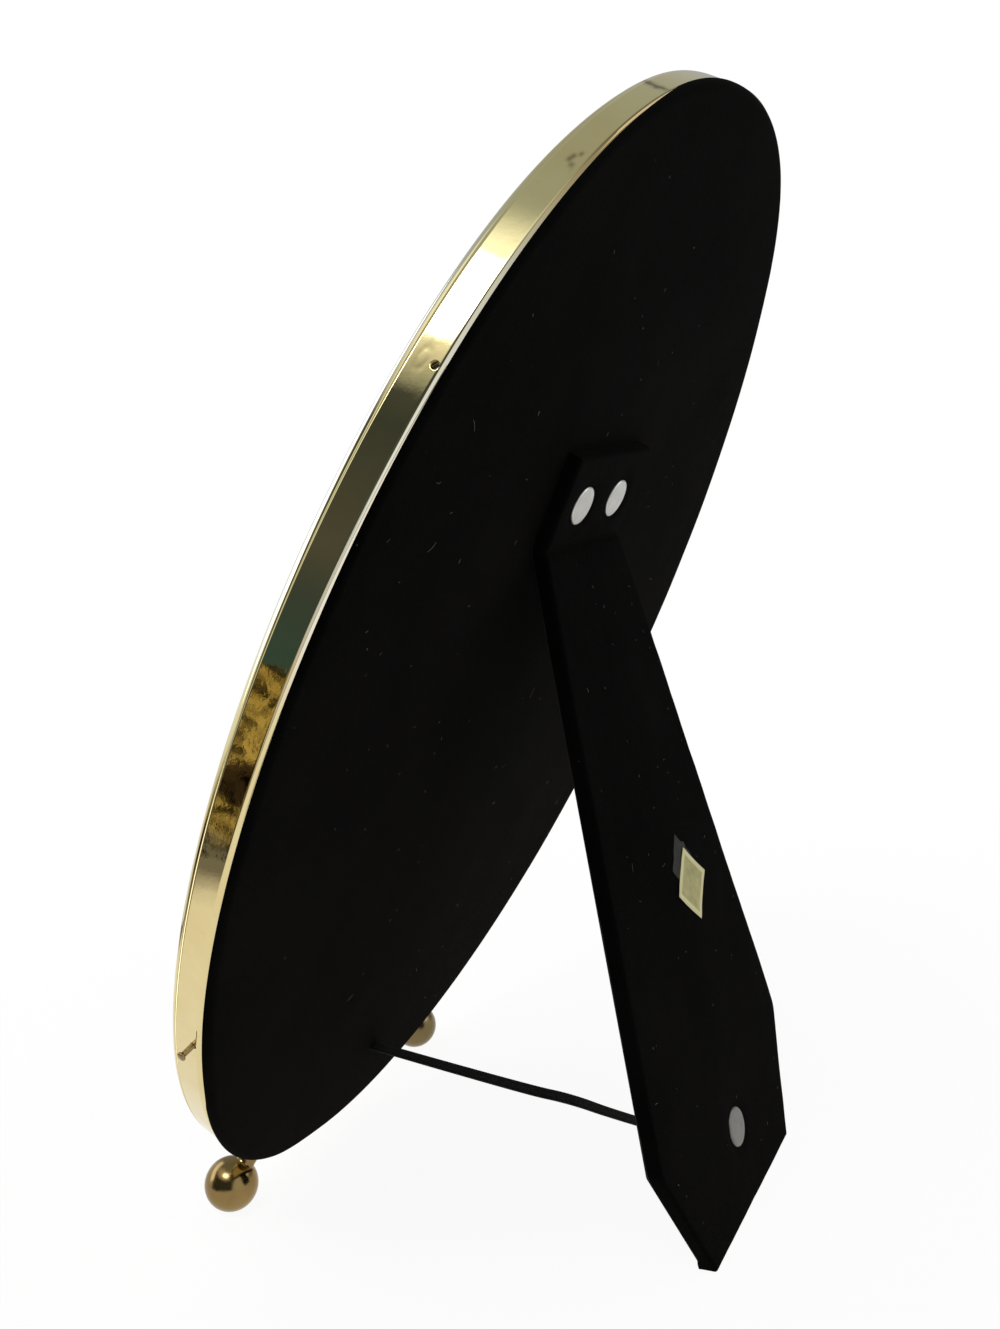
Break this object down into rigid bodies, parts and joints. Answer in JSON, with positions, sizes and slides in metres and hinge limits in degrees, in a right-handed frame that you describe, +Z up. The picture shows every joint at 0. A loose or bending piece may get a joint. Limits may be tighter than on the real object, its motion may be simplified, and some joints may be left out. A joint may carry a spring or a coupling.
{
  "type": "oval picture frame",
  "caption": "Oval brass table frame on ball feet, with a velvet back and a folding velvet easel leg held open by a ribbon stay.",
  "frame": {"origin": "floor under the middle of the standing frame's box", "axes": "+Z up, the picture faces -Y and the easel leg stands behind it, towards +Y"},
  "size_m": [0.1476, 0.1098, 0.1863],
  "materials": {
    "brass": "polished",
    "pin": "tarnished",
    "rivet": "dull grey",
    "velvet": "black velvet",
    "lining": "black flock paper",
    "board": "plain grey-brown board",
    "ribbon": "black woven ribbon",
    "glass": "clear",
    "print": "blank print",
    "foil": "dull gold foil, blank"
  },
  "bodies": {
    "frame": {"brass_rim": "brass", "ball_foot_left": "brass", "ball_foot_right": "brass", "foot_screw_left": "rivet", "foot_screw_right": "rivet", "glass_pane": "glass", "picture_card": "print", "filler_card": "board", "backing_board": "board", "back_velvet": "velvet", "rim_brads": "pin", "bent_brad": "pin", "tab_board": "board", "tab_velvet": "velvet", "tab_rivets": "rivet", "tab_rivet_burrs": "rivet", "fold_cloth": "velvet", "stay_ribbon": "ribbon", "stay_staple": "rivet"},
    "leg": {"leg_board": "board", "leg_velvet": "velvet", "leg_lining": "lining", "leg_rivet": "rivet", "leg_rivet_burr": "rivet", "stay_end": "ribbon", "label_foil": "foil"}
  },
  "joints": [
    {"name": "leg_fold", "type": "hinge", "parent": "frame", "child": "leg", "pos_m": [0, 0.02099, 0.11777], "axis": [-1, 0, 0], "range_deg": [0, 37], "deforming": ["stay_ribbon"]}
  ]
}
